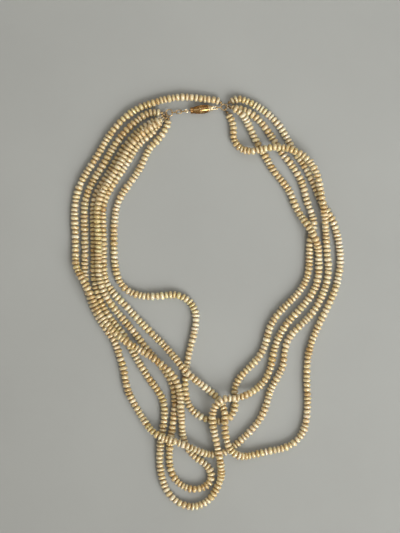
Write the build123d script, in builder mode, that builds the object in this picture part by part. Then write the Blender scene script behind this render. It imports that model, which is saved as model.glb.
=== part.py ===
"""Five-strand freshwater pearl necklace with a pierced gold barrel clasp, laid out on a flat surface.

Millimetres, +Z up. The surface is z = 0 and the origin lies on it, under the middle of the laid
necklace. +Y points to the clasp, at the top of the laid necklace.

Every strand is a thread with drilled pearls on it, and both of its ends are knotted into bead tips on
a ring. The left half of the necklace swings about PIVOT to open the clasp, so each strand is cut near
the pivot: the pieces named _left swing, and those named _right stay.
"""
import math
import os
import random

from build123d import *

os.makedirs("parts", exist_ok=True)

# ---- pearls: slightly flattened beads, drilled along their short axis
PEARL_RADII = (1.67, 1.695, 1.72, 1.745, 1.77)
PEARL_HALF_LENGTH = 0.74
PEARL_PITCH = 1.78
END_PEARL_RADIUS = 1.05
END_PEARL_HALF_LENGTH = 0.55
END_PEARL_PITCH = 1.3
BORE_RADIUS = 0.4
PEARL_TILT = 3.0
THREAD_RADIUS = 0.2
THREAD_CUT_GAP = 0.3
PEARL_CUT_GAP = 0.6
SEED = 7

# ---- clasp: one axis carries the left ring, the chain, the tongue, the barrel and the right ring
AXIS_TILT = 6.0
AXIS_HEIGHT = 1.85
BARREL_MIDDLE = (-1.63, 80.75, AXIS_HEIGHT)
BARREL_MOUTH = -5.3
BARREL_END = 4.1
BARREL_WIDEST = 0.2
BARREL_RADIUS = 1.78
LIP_LENGTH = 0.8
MOUTH_RADIUS = 1.15
END_RADIUS = 0.9
WALL = 0.3
BAND_WALL = 0.22
SLOT_WIDTH = 0.5
SLOTS_AROUND = 5
SLOT_FIELDS = ((-2.75, 2.3), (0.7, 2.9))
CROSSBAR_PLACE = BARREL_MOUTH + 0.4
CROSSBAR_HEIGHT = 0.75
CROSSBAR_RADIUS = 0.11
END_PLUG_LENGTH = 0.5
END_LOOP_RADIUS = 0.5
END_LOOP_HALF_STRAIGHT = 0.55
END_LOOP_WIRE = 0.21
LEFT_RING_RADIUS = 1.4
RIGHT_RING_RADIUS = 1.25
RING_WIRE = 0.22
LINK_WIRE = 0.2
LINK_END_RADIUS = 0.65
LINK_HALF_STRAIGHT = 0.55
EYE_RADIUS = 0.55
TONGUE_WIRE = 0.2
TONGUE_LOWER = -0.45
TONGUE_UPPER = 0.25
TONGUE_REACH = 1.0
TONGUE_TIP = -0.2
LEAF_THICKNESS = 0.12
LEAF_WIDTH = 0.7
LEAF_FREE_PLACE = -4.3
LEAF_FREE_HEIGHT = 0.58
PLAY = 0.05

# ---- bead tips: a small cup over the end knot, with a loop round the ring
TIP_LOOP_RADIUS = 0.45
TIP_WIRE = 0.14
CUP_RADIUS = 0.56
CUP_BORE = 0.44
CUP_DEPTH = 0.85
CUP_FLOOR = 0.2
CUP_MOUTH = 0.15
KNOT_RADIUS = 0.3
KNOT_FLAT = 0.17

# ---- the centre line of each strand: straight runs between these points, rounded at each of them.
# A strand that lies on the surface has its centre at 1.8; one in the groove between two others lies
# at 5.1, and one that crosses over another at 5.6 to 5.8.
ROUTES = {
    # from the left ring down the outside of the left arm, along the bottom and up the right arm
    "outer": [
        (-19.1, 79.2, 1.8), (-21.8, 79.6, 1.8), (-25.4, 78.9, 1.8), (-29.8, 75.7, 1.8),
        (-33.8, 72, 1.8), (-37.4, 67.6, 1.8), (-40.5, 62.7, 1.8), (-43.4, 57.3, 1.8), (-47, 52, 1.8),
        (-50, 46.3, 1.8), (-51.4, 40.2, 1.8), (-51.3, 33.7, 1.8), (-51.1, 27, 1.8), (-51, 20, 1.8),
        (-51.3, 13.5, 1.8), (-50.9, 7.3, 1.8), (-49, 1.5, 1.8), (-46.8, -4, 1.8), (-43.9, -9.2, 1.8),
        (-40.5, -13.4, 1.8), (-37.9, -17.8, 1.8), (-36.6, -22.6, 1.8), (-34.9, -27.4, 1.8),
        (-34.2, -32.6, 1.8), (-32.9, -38, 1.8), (-30.2, -43, 1.8), (-27.3, -48, 1.8),
        (-24, -52.9, 4.2), (-19.6, -56.2, 5.8), (-14, -57.7, 5.65), (-8.8, -59.6, 5.65),
        (-3.8, -62, 4.8), (1, -64, 2.1), (6.2, -63.6, 1.8), (10.8, -60.9, 1.8), (15.2, -57, 1.8),
        (19.5, -52.8, 1.8), (23, -48, 1.8), (25.1, -42.6, 1.8), (26.4, -37, 1.8), (29.3, -32, 1.8),
        (32, -27.1, 1.8), (32.5, -21.4, 1.8), (33.6, -15.8, 1.8), (37.2, -11.6, 1.8),
        (41.6, -7.6, 1.8), (45.5, -2.9, 1.8), (48.3, 2.7, 1.8), (50.4, 8.5, 1.8), (51.1, 14.5, 1.8),
        (50.4, 20.5, 1.8), (49.9, 26.5, 1.8), (49.6, 32, 3.5), (48.9, 37.6, 5.5), (47.9, 43.5, 5.65),
        (46.9, 49.5, 5.65), (45.2, 55.3, 5.5), (41.7, 60.2, 5.65), (36.5, 63.3, 5.65),
        (30.5, 64.8, 5.65), (24.4, 64.2, 5.65), (18.8, 62.6, 5.1), (13.9, 64, 2.3), (10.9, 68.2, 1.8),
        (11.2, 73, 1.8), (10.4, 76.6, 1.8), (8.6, 79.2, 1.8),
    ],
    # second lane on the left, round the long hanging loop, and second lane on the right
    "big_loop": [
        (-18.8, 78, 1.8), (-20.7, 76.9, 1.8), (-23, 75.2, 1.8), (-26.8, 73.1, 1.8), (-30.9, 69.4, 1.8),
        (-34.5, 64.9, 1.8), (-37.4, 60.1, 1.8), (-40.2, 55, 1.8), (-43.8, 49.8, 1.8),
        (-46.6, 44.9, 1.8), (-47.6, 39.6, 1.8), (-47.5, 33.4, 1.8), (-47.2, 27, 1.8), (-47.1, 20, 1.8),
        (-47.3, 13.3, 1.8), (-46.8, 7, 1.8), (-45, 1.2, 1.8), (-42.4, -4.2, 1.8), (-39, -8.8, 1.8),
        (-35.6, -12.8, 1.8), (-32.9, -17, 1.8), (-30.4, -21.8, 1.8), (-27.6, -26.8, 1.8),
        (-24.4, -31.8, 1.8), (-20.8, -36.6, 1.8), (-17.9, -41.6, 1.8), (-17.6, -47.6, 1.8),
        (-18.6, -54, 1.8), (-19.7, -60.6, 1.8), (-19.8, -67.6, 1.8), (-18.8, -74.4, 1.8),
        (-16.2, -80.4, 1.8), (-11.3, -84.7, 1.8), (-5.2, -86.1, 1.8), (0.6, -83.5, 1.8),
        (4.2, -78.4, 1.8), (6.2, -72.7, 2.5), (5.7, -67.3, 5.3), (4.7, -61.8, 5.8), (3.5, -56.3, 5.2),
        (2.4, -51.2, 5.65), (2.1, -46.6, 5.8), (3.4, -42.6, 5.8), (7, -39.9, 5.8), (11.2, -40, 5.8),
        (15.2, -39.2, 5.1), (19.6, -37.3, 2.2), (24.2, -33.3, 1.8), (26.8, -27.7, 1.8),
        (27.7, -21.8, 1.8), (29.4, -15.7, 1.8), (32.8, -9.7, 1.8), (37.1, -4.9, 1.8), (41.7, 0, 1.8),
        (45.3, 5.4, 1.8), (46.9, 11.4, 1.8), (46.8, 17.4, 1.8), (46.6, 22.6, 3.3), (45, 27.3, 5.6),
        (42.2, 31.8, 5.65), (39.2, 36, 2.9), (36.8, 40.7, 1.8), (35, 46.1, 1.8), (31.5, 50.6, 1.8),
        (27.6, 55.2, 1.8), (24.8, 60.6, 1.8), (21.2, 66.3, 1.8), (18.6, 71.8, 1.8), (16.4, 76.2, 3.7),
        (14, 79, 5.6), (11.3, 80.9, 5.4), (9.6, 81.9, 3.6),
    ],
    # third lane on the left, over the middle, then outermost on the right
    "far_right": [
        (-17.3, 76.7, 1.8), (-18.9, 75.1, 1.8), (-21.3, 72.5, 1.8), (-24.2, 69.6, 1.8),
        (-28.2, 66.5, 1.8), (-31.3, 62.4, 1.8), (-33.8, 57.6, 1.8), (-36.9, 52.9, 1.8),
        (-40.3, 47.9, 1.8), (-42.9, 43, 1.8), (-43.8, 37.8, 1.8), (-43.5, 32, 1.8), (-43.3, 26, 1.8),
        (-43.2, 19.6, 1.8), (-43.3, 13, 1.8), (-42, 7.6, 1.8), (-38.6, 3, 1.8), (-34.6, -0.8, 1.8),
        (-30.8, -5.1, 1.8), (-26.7, -9.6, 1.8), (-22.4, -13.8, 1.8), (-18.2, -17.8, 1.8),
        (-14.3, -22, 3.3), (-10.8, -26.5, 5.6), (-6.8, -30.7, 5.65), (-2.4, -34.4, 3.5),
        (2, -37.7, 1.8), (5.9, -41.6, 1.8), (7.6, -46.2, 5.1), (7.4, -51.9, 5.8), (8, -57.3, 5.5),
        (9.7, -61.7, 5.7), (13.4, -64.5, 4.1), (18.6, -64.3, 1.8), (24.4, -62.6, 1.8),
        (30.6, -61.7, 1.8), (36.4, -59.4, 1.8), (40.4, -54.8, 1.8), (41.9, -48.7, 1.8),
        (42.2, -42.2, 1.8), (41.9, -35.6, 1.8), (41.8, -29, 1.8), (42.3, -22.4, 1.8), (44, -16, 1.8),
        (46.7, -9.8, 1.8), (49.8, -3.6, 1.8), (52.9, 2.8, 1.8), (55, 9.4, 1.8), (56, 16, 1.8),
        (55.7, 22.6, 1.8), (54.5, 29, 1.8), (52.5, 35, 1.8), (48.7, 40.4, 1.8), (46, 46.2, 1.8),
        (43.6, 52.3, 1.8), (40.4, 58, 1.8), (36.7, 63, 1.8), (33.8, 67.8, 1.8), (31.4, 72.6, 1.8),
        (27.8, 76.8, 1.8), (23.8, 80.3, 1.8), (19.2, 83, 1.8), (14.6, 85.1, 1.8), (12, 85, 1.8),
        (9.5, 83.8, 1.8),
    ],
    # innermost on the left, across the open middle, round the junction, innermost on the right
    "inner": [
        (-16.1, 76.5, 1.8), (-16.4, 74.3, 1.8), (-17.8, 71.4, 1.8), (-20.3, 67.9, 1.8),
        (-24.2, 64.5, 1.8), (-26.2, 59.9, 1.8), (-28.4, 55.2, 1.8), (-31.9, 50.2, 1.8),
        (-35.6, 45.4, 1.8), (-38, 39.8, 1.8), (-38.8, 33.2, 1.8), (-38.9, 26.3, 1.8),
        (-38.8, 19.2, 1.8), (-38.2, 12.4, 1.8), (-35.8, 6.8, 1.8), (-31.2, 3.4, 1.8),
        (-25.4, 2.2, 1.8), (-19.4, 2.5, 1.8), (-13.6, 3.4, 1.8), (-8.4, 1.5, 1.8), (-4.9, -2.7, 1.8),
        (-4.4, -8.1, 1.8), (-5.6, -14.4, 1.8), (-7.4, -20.8, 1.8), (-8.6, -27.6, 1.8),
        (-9.2, -34.4, 1.8), (-8.8, -40.8, 1.8), (-6, -46, 1.8), (-0.8, -49.1, 1.8), (5, -50.5, 1.8),
        (10.7, -48.2, 1.8), (12.2, -42, 1.8), (11.2, -36.8, 1.8), (13.3, -31.8, 1.8),
        (17.9, -27.2, 1.8), (22.4, -22.6, 1.8), (24.8, -17, 1.8), (26, -11, 1.8), (29, -5.6, 1.8),
        (33.5, -1, 1.8), (38, 3.4, 1.8), (41.6, 8.6, 1.8), (42.9, 14.8, 1.8), (42.9, 21, 1.8),
        (43.2, 26.6, 1.8), (45.1, 31.6, 1.8), (44.2, 36.6, 1.8), (42, 41.6, 1.8), (41, 46.8, 1.8),
        (39, 52.2, 1.8), (35.5, 57.4, 1.8), (31.2, 62.6, 1.8), (27.8, 68.2, 1.8), (24.2, 73.6, 1.8),
        (20, 78, 1.8), (15.8, 80.3, 1.8), (12.9, 81.3, 1.8), (10.2, 81.3, 1.8),
    ],
    # from the right ring over the top, down the left arm, back through a small loop to the left ring
    "folded": [
        (5.7, 83.8, 1.8), (3.3, 84.7, 1.8), (-0.8, 85, 1.8), (-5.2, 85.6, 1.8), (-11, 86, 1.8),
        (-17, 85, 1.8), (-23, 83.4, 1.8), (-29.1, 81.2, 1.8), (-34.4, 77.5, 1.8), (-39.1, 72.4, 1.8),
        (-43, 66.6, 1.8), (-46.1, 60.9, 1.8), (-49.9, 55.2, 1.8), (-53.4, 49, 1.8), (-55.2, 42, 1.8),
        (-55.5, 35, 1.8), (-55.1, 28, 1.8), (-55, 21, 1.8), (-55, 15.6, 3.5), (-52.6, 10.6, 5.5),
        (-49.4, 5.4, 5.65), (-47.1, 0.2, 5.3), (-44.6, -5.2, 5.2), (-40.9, -10, 5.2), (-37, -14, 5.5),
        (-32.4, -17.3, 5.65), (-27.4, -20.2, 5.5), (-22.2, -23.4, 5.65), (-17, -27.2, 5.65),
        (-12.8, -32, 5.4), (-11, -38, 5.2), (-10.9, -44.4, 5.1), (-10.5, -50.2, 3.1),
        (-10.3, -55.6, 1.8), (-8.5, -60.8, 1.8), (-5.4, -64.6, 1.8), (-1.9, -66.9, 1.8),
        (0.9, -69.3, 1.8), (2.1, -72.5, 1.8), (1.1, -75.7, 1.8), (-1.5, -77.8, 1.8),
        (-5.1, -78.5, 1.8), (-9.2, -77.7, 1.8), (-12.7, -75.1, 1.8), (-14.9, -71.4, 1.8),
        (-15.8, -66.4, 1.8), (-15.6, -60, 1.8), (-14.6, -53.8, 1.8), (-13.8, -47.4, 1.8),
        (-13.1, -41, 1.8), (-14, -35, 1.8), (-16.7, -29.8, 1.8), (-20.3, -25.2, 1.8),
        (-24.3, -20.8, 1.8), (-27.9, -16.1, 1.8), (-31.5, -11.3, 1.8), (-35.4, -6.8, 1.8),
        (-39.2, -2.2, 2.1), (-42.4, 2.9, 4.7), (-44.7, 8.6, 5.1), (-45.3, 14.6, 5.1), (-45.2, 21, 5.1),
        (-45.3, 27.4, 5.1), (-45.8, 33.4, 5.1), (-45.7, 39.2, 5.1), (-44.5, 44.4, 5.2),
        (-41.9, 49.2, 5.2), (-38.5, 54.1, 5.2), (-35.5, 59.2, 5.2), (-33, 64, 5.1), (-29.6, 68, 5.1),
        (-26.2, 71, 5.4), (-22.9, 73.3, 5.65), (-20.4, 75, 5.3), (-18, 77.1, 3.6),
    ],
}

# The run of each route in which the strand is cut: after this point of its list.
CUT_AFTER = {"outer": 31, "big_loop": 34, "far_right": 25, "inner": 27, "folded": 2}
# The strand whose list starts at the right ring instead of the left one.
STARTS_RIGHT = ("folded",)

# Bare thread beside each bead tip, then the stretch strung with small end pearls: (bare, small).
LEFT_ENDS = {
    "outer": (0.4, 0.0), "big_loop": (2.2, 1.3), "far_right": (2.6, 3.9), "inner": (0.4, 0.0),
    "folded": (1.4, 1.3),
}
RIGHT_ENDS = {
    "outer": (0.7, 0.0), "big_loop": (1.2, 1.3), "far_right": (0.4, 0.0), "inner": (1.3, 0.0),
    "folded": (0.4, 0.0),
}
# Where each bead tip hangs on its ring, in degrees from +X.
LEFT_TIP_ANGLES = {"outer": 178, "big_loop": 202, "folded": 224, "far_right": 246, "inner": 270}
RIGHT_TIP_ANGLES = {"outer": -62, "inner": -14, "big_loop": 10, "far_right": 42, "folded": 126}


# ------------------------------------------------------------------ strands
def corner_radii(points):
    """The largest arc that each corner's two runs allow."""
    radii = []
    for before, corner, after in zip(points, points[1:], points[2:]):
        run_in = Vector(*corner) - Vector(*before)
        run_out = Vector(*after) - Vector(*corner)
        half_turn = math.radians(run_in.get_angle(run_out)) / 2
        radii.append(0.45 * min(run_in.length, run_out.length) / math.tan(half_turn))
    return radii


def halves(name):
    """The left and the right part of a route, each as points that start at its ring, with its radii."""
    points = ROUTES[name]
    radii = corner_radii(points)
    cut = CUT_AFTER[name]
    run_start = Vector(*points[cut])
    run = Vector(*points[cut + 1]) - run_start
    gap = run.normalized() * (THREAD_CUT_GAP / 2)
    middle = run_start + run / 2
    first = (points[:cut + 1] + [tuple(middle - gap)], radii[:cut])
    last = ([tuple(middle + gap)] + points[cut + 1:], radii[cut:])
    last = (last[0][::-1], last[1][::-1])
    return (last, first) if name in STARTS_RIGHT else (first, last)


def make_pearl(radius, half_length):
    """A drilled bead about Z: full at its girdle, nearly flat round its two drill holes."""
    shoulder = (0.72 * radius, 0.76 * half_length)
    with BuildPart() as pearl:
        with BuildSketch(Plane.XZ):
            with BuildLine():
                Spline(
                    (BORE_RADIUS, -half_length), (shoulder[0], -shoulder[1]), (radius, 0),
                    tangents=((1, -0.05), (0, 1)),
                )
                Spline((radius, 0), shoulder, (BORE_RADIUS, half_length), tangents=((0, 1), (-1, -0.05)))
                Line((BORE_RADIUS, half_length), (BORE_RADIUS, -half_length))
            make_face()
        revolve(axis=Axis.Z)
    return pearl.part.solids()[0]


def make_thread(points, radii):
    with BuildPart() as thread:
        with BuildLine() as route:
            FilletPolyline(*points, radius=radii)
        with BuildSketch(route.line ^ 0):
            Circle(THREAD_RADIUS)
        sweep()
    return thread.part, route.wire()


def evenly(start, end, pitch):
    """Middles of as many places as fit between start and end, stretched to fill it."""
    count = int((end - start) / pitch + 1e-6)
    return [start + (place + 0.5) * (end - start) / count for place in range(count)]


def string_pearls(route, ends, shapes, end_shape):
    """Copies of the pearls along a route. A builder would fuse them, so they are placed by moved()."""
    bare, small = ends
    length = route.length
    strung = [(distance, end_shape) for distance in evenly(bare, bare + small, END_PEARL_PITCH)]
    cut_side = length - (PEARL_CUT_GAP - THREAD_CUT_GAP) / 2
    for distance in evenly(bare + small, cut_side, PEARL_PITCH):
        strung.append((distance, random.choice(shapes)))
    pearls = []
    for distance, shape in strung:
        place = route.location_at(distance, position_mode=PositionMode.LENGTH)
        tilt = (random.uniform(-PEARL_TILT, PEARL_TILT), random.uniform(-PEARL_TILT, PEARL_TILT), 0)
        pearls.append(shape.moved(place * Location((0, 0, 0), tilt)))
    return Compound(pearls)


def save(part, name):
    part.label = name
    export_step(part, f"parts/{name}.step")


random.seed(SEED)
pearl_shapes = [make_pearl(radius, PEARL_HALF_LENGTH) for radius in PEARL_RADII]
end_pearl = make_pearl(END_PEARL_RADIUS, END_PEARL_HALF_LENGTH)
for strand in ROUTES:
    for side, ends, (points, radii) in zip(("left", "right"), (LEFT_ENDS, RIGHT_ENDS), halves(strand)):
        thread, route = make_thread(points, radii)
        tube = math.pi * THREAD_RADIUS**2 * route.length
        print(f"{strand} {side}: thread {route.length:.1f} long, volume / section x length "
              f"{thread.volume / tube:.4f}, radii {min(radii):.1f} to {max(radii):.0f}")
        pearls = string_pearls(route, ends[strand], pearl_shapes, end_pearl)
        print(f"    {len(pearls.solids())} pearls")
        save(thread, f"{strand}_thread_{side}")
        save(pearls, f"{strand}_pearls_{side}")


# ------------------------------------------------------------------ places along the clasp's axis
axis_x = math.cos(math.radians(AXIS_TILT))
axis_y = math.sin(math.radians(AXIS_TILT))
AXIS_DIRECTION = Vector(axis_x, axis_y, 0)


def on_axis(place):
    """A level plane on the clasp's axis: its X runs along the axis and its Z is up."""
    return Plane(Vector(*BARREL_MIDDLE) + AXIS_DIRECTION * place, x_dir=AXIS_DIRECTION, z_dir=(0, 0, 1))


def upright(place):
    """An upright plane that holds the axis: X along the axis, Y up."""
    across = Vector(axis_y, -axis_x, 0)
    return Plane(Vector(*BARREL_MIDDLE) + AXIS_DIRECTION * place, x_dir=AXIS_DIRECTION, z_dir=across)


level = on_axis(0)
clasp_axis = Axis(level.origin, AXIS_DIRECTION)
link_reach = LINK_HALF_STRAIGHT + LINK_END_RADIUS
link_pitch = 2 * link_reach - 2 * LINK_WIRE - 2 * PLAY
ring_play = LINK_WIRE + RING_WIRE + PLAY
eye_place = BARREL_MOUTH - 1.7
third_link = eye_place - EYE_RADIUS + TONGUE_WIRE + LINK_WIRE + PLAY - link_reach
first_link = third_link - 2 * link_pitch
left_ring_place = first_link - link_reach + ring_play - LEFT_RING_RADIUS
end_loop_reach = END_LOOP_HALF_STRAIGHT + END_LOOP_RADIUS
end_loop_place = BARREL_END + end_loop_reach - END_LOOP_WIRE
end_link = end_loop_place + end_loop_reach - END_LOOP_WIRE - LINK_WIRE - PLAY + link_reach
right_ring_place = end_link + link_reach - ring_play + RIGHT_RING_RADIUS


# ------------------------------------------------------------------ barrel
def barrel_wall(side):
    """Half of the spindle-shaped wall, turned about the axis; side is 1 for the upper half."""
    shoulder = BARREL_MOUTH + LIP_LENGTH
    heel = BARREL_END - LIP_LENGTH
    with BuildPart() as shell:
        with BuildSketch(level):
            with BuildLine():
                mouth = Line((BARREL_MOUTH, MOUTH_RADIUS), (shoulder, MOUTH_RADIUS))
                tail = Line((heel, END_RADIUS), (BARREL_END, END_RADIUS))
                Spline(mouth @ 1, (BARREL_WIDEST, BARREL_RADIUS), tail @ 0, tangents=((1, 0.3), (1, -0.75)))
                inner_tail = Line((BARREL_END, END_RADIUS - WALL), (heel, END_RADIUS - WALL))
                inner_mouth = Line((shoulder, MOUTH_RADIUS - WALL), (BARREL_MOUTH, MOUTH_RADIUS - WALL))
                Spline(
                    inner_tail @ 1, (BARREL_WIDEST, BARREL_RADIUS - WALL), inner_mouth @ 0,
                    tangents=((-1, 0.75), (-1, -0.3)),
                )
                Line(tail @ 1, inner_tail @ 0)
                Line(inner_mouth @ 1, mouth @ 0)
            make_face()
        revolve(axis=clasp_axis, revolution_arc=180 * side)
        for middle, length in SLOT_FIELDS:
            for step in range(SLOTS_AROUND):
                turn = math.pi * (step + 0.5) / SLOTS_AROUND
                outward = Vector(-axis_y, axis_x, 0) * math.cos(turn) + Vector(0, 0, side) * math.sin(turn)
                place = Plane(level.origin + AXIS_DIRECTION * middle, x_dir=AXIS_DIRECTION, z_dir=outward)
                with BuildSketch(place):
                    SlotOverall(length, SLOT_WIDTH)
                extrude(amount=2 * BARREL_RADIUS, mode=Mode.SUBTRACT)
        if side > 0:
            with BuildSketch(upright(CROSSBAR_PLACE)):
                with Locations((0, CROSSBAR_HEIGHT)):
                    Circle(CROSSBAR_RADIUS + PLAY / 2)
            extrude(amount=BARREL_RADIUS, both=True, mode=Mode.SUBTRACT)
    return shell.part


def band(place, length, inner, outer):
    """A turned ring round the axis with a rounded outside."""
    with BuildPart() as ring:
        with BuildSketch(level):
            with Locations((place, (inner + outer) / 2)):
                Rectangle(length, outer - inner)
        revolve(axis=clasp_axis)
        rims = ring.edges().filter_by(GeomType.CIRCLE).sort_by(SortBy.RADIUS)[-2:]
        fillet(rims, 0.4 * (outer - inner))
    return ring.part


save(barrel_wall(1), "clasp_upper_shell")
save(barrel_wall(-1), "clasp_lower_shell")
half_lip = LIP_LENGTH / 2
save(band(BARREL_MOUTH + half_lip, LIP_LENGTH, MOUTH_RADIUS, MOUTH_RADIUS + BAND_WALL), "clasp_mouth_band")
save(band(BARREL_END - half_lip, LIP_LENGTH, END_RADIUS, END_RADIUS + BAND_WALL), "clasp_end_band")

with BuildPart() as crossbar:
    with BuildSketch(upright(CROSSBAR_PLACE)):
        with Locations((0, CROSSBAR_HEIGHT)):
            Circle(CROSSBAR_RADIUS)
    extrude(amount=math.sqrt((MOUTH_RADIUS - 0.03)**2 - (CROSSBAR_HEIGHT + CROSSBAR_RADIUS)**2), both=True)
save(crossbar.part, "clasp_crossbar")

def wire_loop(plane, half_straight, end_radius, wire_radius):
    """A long loop of round wire that lies in the plane, along its X."""
    with BuildPart() as loop:
        with BuildLine(plane) as wire:
            top = Line((-half_straight, end_radius), (half_straight, end_radius))
            bottom = Line((half_straight, -end_radius), (-half_straight, -end_radius))
            ThreePointArc(top @ 1, (half_straight + end_radius, 0), bottom @ 0)
            ThreePointArc(bottom @ 1, (-half_straight - end_radius, 0), top @ 0)
        with BuildSketch(wire.line ^ 0):
            Circle(wire_radius)
        sweep()
    return loop.part


# The end plug closes the barrel and holds the long loop that the end link hangs on.
with BuildPart() as end_loop:
    with BuildSketch(level):
        with Locations((BARREL_END - END_PLUG_LENGTH / 2, (END_RADIUS - WALL) / 2)):
            Rectangle(END_PLUG_LENGTH, END_RADIUS - WALL)
    revolve(axis=clasp_axis)
    add(wire_loop(on_axis(end_loop_place), END_LOOP_HALF_STRAIGHT, END_LOOP_RADIUS, END_LOOP_WIRE))
save(end_loop.part, "clasp_end_loop")


# ------------------------------------------------------------------ tongue
# A hook of round wire: in along the floor of the barrel, round a bend, and back to a short tip.
bend_radius = (TONGUE_UPPER - TONGUE_LOWER) / 2
eye_edge = eye_place + EYE_RADIUS
with BuildPart() as hook:
    with BuildLine(upright(0)) as wire:
        FilletPolyline(
            (eye_edge + 0.7 * TONGUE_WIRE, 0), (eye_edge + 0.6, 0), (eye_edge + 1.1, TONGUE_LOWER),
            (TONGUE_REACH, TONGUE_LOWER), radius=0.4,
        )
        ThreePointArc(
            (TONGUE_REACH, TONGUE_LOWER), (TONGUE_REACH + bend_radius, TONGUE_LOWER + bend_radius),
            (TONGUE_REACH, TONGUE_UPPER),
        )
        Line((TONGUE_REACH, TONGUE_UPPER), (TONGUE_TIP, TONGUE_UPPER))
    with BuildSketch(wire.line ^ 0):
        Circle(TONGUE_WIRE)
    sweep()
save(hook.part, "tongue_hook")

with BuildPart(on_axis(eye_place)) as eye:
    Torus(EYE_RADIUS, TONGUE_WIRE)
save(eye.part, "tongue_eye")

# The leaf lies on the hook's tip side, and its free end rises behind the crossbar.
leaf_floor = TONGUE_UPPER + TONGUE_WIRE
with BuildPart() as leaf:
    with BuildSketch(upright(0)):
        with BuildLine():
            Polyline(
                (TONGUE_REACH, leaf_floor), (TONGUE_TIP, leaf_floor), (LEAF_FREE_PLACE, LEAF_FREE_HEIGHT),
                (LEAF_FREE_PLACE, LEAF_FREE_HEIGHT + LEAF_THICKNESS),
                (TONGUE_TIP, leaf_floor + LEAF_THICKNESS), (TONGUE_REACH, leaf_floor + LEAF_THICKNESS),
                close=True,
            )
        make_face()
    extrude(amount=LEAF_WIDTH / 2, both=True)
save(leaf.part, "tongue_spring_leaf")


# ------------------------------------------------------------------ chain and rings
for name, plane in (
    ("chain_link_left", upright(first_link)), ("chain_link_middle", on_axis(first_link + link_pitch)),
    ("chain_link_right", upright(third_link)), ("clasp_end_link", upright(end_link)),
):
    save(wire_loop(plane, LINK_HALF_STRAIGHT, LINK_END_RADIUS, LINK_WIRE), name)

for name, place, radius in (
    ("left_ring", left_ring_place, LEFT_RING_RADIUS), ("right_ring", right_ring_place, RIGHT_RING_RADIUS)
):
    with BuildPart(on_axis(place)) as ring:
        Torus(radius, RING_WIRE)
    save(ring.part, name)


# ------------------------------------------------------------------ bead tips and end knots
def make_tip(ring_middle, ring_radius, angle, end):
    """A loop round the ring's wire at an angle, and a cup whose mouth takes the thread at its end."""
    turn = math.radians(angle)
    outward = Vector(math.cos(turn), math.sin(turn), 0)
    along_ring = Vector(-math.sin(turn), math.cos(turn), 0)
    loop_middle = ring_middle + outward * ring_radius
    direction = (end - loop_middle).normalized()
    loop_normal = (along_ring - direction * along_ring.dot(direction)).normalized()
    length = (end - loop_middle).length
    side_on = Plane(loop_middle, x_dir=direction, z_dir=loop_normal)
    floor = length - CUP_DEPTH
    mouth = length + CUP_MOUTH
    with BuildPart() as tip:
        with Locations(side_on):
            Torus(TIP_LOOP_RADIUS, TIP_WIRE)
        with BuildSketch(side_on):
            with BuildLine():
                Polyline((TIP_LOOP_RADIUS, 0), (TIP_LOOP_RADIUS, TIP_WIRE), (floor, TIP_WIRE))
                Spline(
                    (floor, TIP_WIRE), (floor + 0.25, 0.75 * CUP_RADIUS), (mouth, CUP_RADIUS),
                    tangents=((0.2, 1), (1, 0.05)),
                )
                Polyline((mouth, CUP_RADIUS), (mouth, CUP_BORE), (floor + 2 * CUP_FLOOR, CUP_BORE))
                Polyline((floor + 2 * CUP_FLOOR, CUP_BORE), (floor + CUP_FLOOR, CUP_BORE / 2),
                         (floor + CUP_FLOOR, 0), (TIP_LOOP_RADIUS, 0))
            make_face()
        revolve(axis=Axis(loop_middle, direction))
    return tip.part.solids()[0]


def make_knot(end, thread_direction):
    """A round knot with a flat where the thread goes in."""
    middle = end - thread_direction * KNOT_FLAT
    with BuildPart(Plane(middle, z_dir=thread_direction)) as knot:
        Sphere(KNOT_RADIUS)
        split(bisect_by=Plane(end, z_dir=thread_direction), keep=Keep.BOTTOM)
    return knot.part.solids()[0]


for side, place, radius, angles in (
    ("left", left_ring_place, LEFT_RING_RADIUS, LEFT_TIP_ANGLES),
    ("right", right_ring_place, RIGHT_RING_RADIUS, RIGHT_TIP_ANGLES),
):
    tips = []
    knots = []
    for strand, angle in angles.items():
        points = halves(strand)[0 if side == "left" else 1][0]
        end = Vector(*points[0])
        tips.append(make_tip(on_axis(place).origin, radius, angle, end))
        knots.append(make_knot(end, (Vector(*points[1]) - end).normalized()))
    save(Compound(tips), f"{side}_bead_tips")
    save(Compound(knots), f"{side}_end_knots")
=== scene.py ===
"""The looks of the five-strand pearl necklace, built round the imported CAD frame. Metres, +Z up."""
import math

import bmesh
import bpy
import numpy as np
from mathutils import Matrix, Vector


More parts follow.
